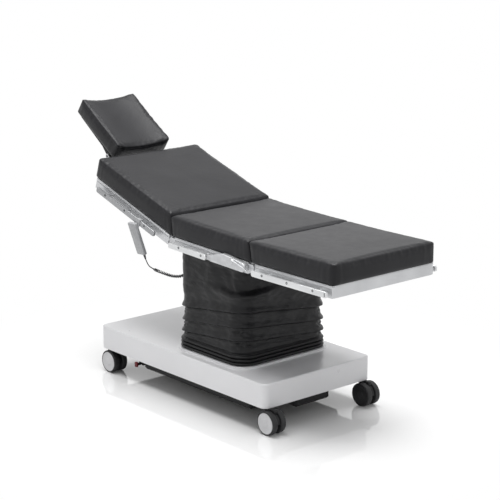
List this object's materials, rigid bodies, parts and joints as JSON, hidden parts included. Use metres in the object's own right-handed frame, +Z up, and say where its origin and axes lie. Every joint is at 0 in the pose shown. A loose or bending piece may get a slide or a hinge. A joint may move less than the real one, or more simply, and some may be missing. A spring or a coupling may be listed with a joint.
{
  "type": "operating table",
  "caption": "Mobile operating table: padded head, back, seat and leg sections on hinges over a bellows-covered lifting and tilting column, on a low base with casters.",
  "frame": {"origin": "on the floor, under the middle of the table's box at rest, free cord left out", "axes": "+X to the foot end, +Y to the far side, +Z up"},
  "size_m": [1.8222, 0.631, 1.1608],
  "materials": {
    "cover_plastic": "smooth light grey lacquer, satin gloss",
    "chassis_steel": "black powder coat",
    "drive_housing": "grey powder coat",
    "caster_hub": "light grey moulded hub with a thin black tread",
    "caster_hood": "black moulded plastic",
    "pedal_red": "dark red foot pad",
    "column_aluminium": "extruded, anodised",
    "cylinder_steel": "machined steel",
    "bellows_rubber": "black coated fabric, soft sheen",
    "frame_aluminium": "extruded, satin anodised",
    "plate_aluminium": "rolled sheet",
    "rail_steel": "ground stainless steel",
    "pad_leather": "black conductive upholstery, low sheen",
    "lever_metal": "cast, bead blasted",
    "knob_plastic": "black moulded plastic",
    "handset_plastic": "light grey moulded plastic",
    "keypad_film": "printed film without text",
    "key_rubber": "pale silicone rubber",
    "cord_jacket": "dark grey cable jacket"
  },
  "bodies": {
    "base": {"base_cover": "cover_plastic", "base_chassis": "chassis_steel", "drive_unit": "drive_housing", "mains_inlet": "chassis_steel", "column_outer": "column_aluminium", "lift_cylinder": "cylinder_steel", "bellows_pleats": "bellows_rubber"},
    "column_mid": {"column_middle": "column_aluminium"},
    "column_head": {"column_inner": "column_aluminium", "lift_piston": "cylinder_steel", "bellows_drape": "bellows_rubber"},
    "yoke": {"tilt_yoke": "cylinder_steel"},
    "seat": {"tilt_saddle": "cylinder_steel", "seat_frame": "frame_aluminium", "seat_plate": "plate_aluminium", "seat_cushion": "pad_leather", "seat_rail_near": "rail_steel", "seat_rail_far": "rail_steel", "joint_housing_near": "lever_metal", "joint_housing_far": "lever_metal", "bellows_collar": "chassis_steel", "cord_socket": "knob_plastic"},
    "back": {"back_frame": "frame_aluminium", "back_plate": "plate_aluminium", "back_cushion": "pad_leather", "back_rail_near": "rail_steel", "back_rail_far": "rail_steel", "handset_body": "handset_plastic", "handset_keypad": "keypad_film", "handset_strain_relief": "knob_plastic", "handset_cord": "cord_jacket"},
    "leg": {"leg_frame": "frame_aluminium", "leg_plate": "plate_aluminium", "leg_cushion": "pad_leather", "leg_rail_near": "rail_steel", "leg_rail_far": "rail_steel"},
    "head_slide": {"head_prongs": "lever_metal"},
    "head_arm": {"head_link": "lever_metal"},
    "head": {"head_plate": "chassis_steel", "head_cushion": "pad_leather"},
    "head_clamp_lever": {"head_clamp": "knob_plastic"},
    "knob_near": {"prong_knob_near": "knob_plastic"},
    "knob_far": {"prong_knob_far": "knob_plastic"},
    "release_near": {"release_lever_near": "lever_metal"},
    "release_far": {"release_lever_far": "lever_metal"},
    "pedal": {"brake_pedal": "pedal_red"},
    "caster_1": {"caster_1_fork": "caster_hood"},
    "caster_1_roller": {"caster_1_wheels": "caster_hub"},
    "caster_2": {"caster_2_fork": "caster_hood"},
    "caster_2_roller": {"caster_2_wheels": "caster_hub"},
    "caster_3": {"caster_3_fork": "caster_hood"},
    "caster_3_roller": {"caster_3_wheels": "caster_hub"},
    "caster_4": {"caster_4_fork": "caster_hood"},
    "caster_4_roller": {"caster_4_wheels": "caster_hub"},
    "key_1": {"handset_key_1": "key_rubber"},
    "key_2": {"handset_key_2": "key_rubber"},
    "key_3": {"handset_key_3": "key_rubber"},
    "key_4": {"handset_key_4": "key_rubber"}
  },
  "joints": [
    {"name": "caster_1_swivel", "type": "hinge", "parent": "base", "child": "caster_1", "pos_m": [-0.5303, -0.25807, 0], "axis": [0, 0, 1], "continuous": true},
    {"name": "caster_1_roll", "type": "hinge", "parent": "caster_1", "child": "caster_1_roller", "pos_m": [-0.4988, -0.25807, 0.05], "axis": [0, 1, 0], "continuous": true},
    {"name": "caster_2_swivel", "type": "hinge", "parent": "base", "child": "caster_2", "pos_m": [-0.5303, 0.26993, 0], "axis": [0, 0, 1], "continuous": true},
    {"name": "caster_2_roll", "type": "hinge", "parent": "caster_2", "child": "caster_2_roller", "pos_m": [-0.4988, 0.26993, 0.05], "axis": [0, 1, 0], "continuous": true},
    {"name": "caster_3_swivel", "type": "hinge", "parent": "base", "child": "caster_3", "pos_m": [0.5237, -0.25807, 0], "axis": [0, 0, 1], "continuous": true},
    {"name": "caster_3_roll", "type": "hinge", "parent": "caster_3", "child": "caster_3_roller", "pos_m": [0.5552, -0.25807, 0.05], "axis": [0, 1, 0], "continuous": true},
    {"name": "caster_4_swivel", "type": "hinge", "parent": "base", "child": "caster_4", "pos_m": [0.5237, 0.26993, 0], "axis": [0, 0, 1], "continuous": true},
    {"name": "caster_4_roll", "type": "hinge", "parent": "caster_4", "child": "caster_4_roller", "pos_m": [0.5552, 0.26993, 0.05], "axis": [0, 1, 0], "continuous": true},
    {"name": "lift", "type": "slide", "parent": "base", "child": "column_head", "axis": [0, 0, 1], "range_m": [0, 0.3], "deforming": ["bellows_pleats"]},
    {"name": "mid_stage", "type": "slide", "parent": "base", "child": "column_mid", "axis": [0, 0, 1], "range_m": [0, 0.15]},
    {"name": "lateral_tilt", "type": "hinge", "parent": "column_head", "child": "yoke", "pos_m": [0.1347, 0.00593, 0.548], "axis": [1, 0, 0], "range_deg": [-18, 18], "deforming": ["bellows_drape", "bellows_pleats"]},
    {"name": "trendelenburg", "type": "hinge", "parent": "yoke", "child": "seat", "pos_m": [0.1347, 0.00593, 0.596], "axis": [0, 1, 0], "range_deg": [-25, 25], "deforming": ["bellows_drape", "bellows_pleats"]},
    {"name": "back_hinge", "type": "hinge", "parent": "seat", "child": "back", "pos_m": [-0.06253, 0.00593, 0.67893], "axis": [0, -1, 0], "range_deg": [-50, 35], "deforming": ["back_cushion", "handset_cord"]},
    {"name": "leg_hinge", "type": "hinge", "parent": "seat", "child": "leg", "pos_m": [0.44417, 0.00593, 0.66124], "axis": [0, -1, 0], "range_deg": [-65, 15], "deforming": ["leg_cushion"]},
    {"name": "head_slide", "type": "slide", "parent": "back", "child": "head_slide", "axis": [-0.9521, 0, 0.3057], "range_m": [0, 0.05]},
    {"name": "neck_hinge", "type": "hinge", "parent": "head_slide", "child": "head_arm", "pos_m": [-0.63849, 0.00593, 0.85756], "axis": [0, 1, 0], "range_deg": [-30, 12]},
    {"name": "head_hinge", "type": "hinge", "parent": "head_arm", "child": "head", "pos_m": [-0.70325, 0.00593, 0.92897], "axis": [0, 1, 0], "range_deg": [-40, 15]},
    {"name": "head_clamp_turn", "type": "hinge", "parent": "head_arm", "child": "head_clamp_lever", "pos_m": [-0.63849, 0.14053, 0.85756], "axis": [0, 1, 0], "range_deg": [0, 50]},
    {"name": "prong_knob_near_turn", "type": "hinge", "parent": "back", "child": "knob_near", "pos_m": [-0.57802, -0.08407, 0.81367], "axis": [0.3057, 0, 0.9521], "range_deg": [-90, 90]},
    {"name": "release_lever_near_turn", "type": "hinge", "parent": "seat", "child": "release_near", "pos_m": [0.35958, -0.29467, 0.6747], "axis": [0, -1, 0], "range_deg": [0, 25]},
    {"name": "prong_knob_far_turn", "type": "hinge", "parent": "back", "child": "knob_far", "pos_m": [-0.57802, 0.09593, 0.81367], "axis": [0.3057, 0, 0.9521], "range_deg": [-90, 90]},
    {"name": "release_lever_far_turn", "type": "hinge", "parent": "seat", "child": "release_far", "pos_m": [0.35958, 0.30653, 0.6747], "axis": [0, -1, 0], "range_deg": [0, 25]},
    {"name": "brake_pedal_turn", "type": "hinge", "parent": "base", "child": "pedal", "pos_m": [-0.2963, -0.25607, 0.085], "axis": [1, 0, 0], "range_deg": [-12, 12]},
    {"name": "key_1_press", "type": "slide", "parent": "back", "child": "key_1", "axis": [0.0179, -0.9563, -0.2918], "range_m": [0, 0.001], "stiffness_N_per_m": 600},
    {"name": "key_2_press", "type": "slide", "parent": "back", "child": "key_2", "axis": [0.0179, -0.9563, -0.2918], "range_m": [0, 0.001], "stiffness_N_per_m": 600},
    {"name": "key_3_press", "type": "slide", "parent": "back", "child": "key_3", "axis": [0.0179, -0.9563, -0.2918], "range_m": [0, 0.001], "stiffness_N_per_m": 600},
    {"name": "key_4_press", "type": "slide", "parent": "back", "child": "key_4", "axis": [0.0179, -0.9563, -0.2918], "range_m": [0, 0.001], "stiffness_N_per_m": 600}
  ],
  "couplings": [
    {"joint": "mid_stage", "follows": "lift", "ratio": 0.5}
  ]
}
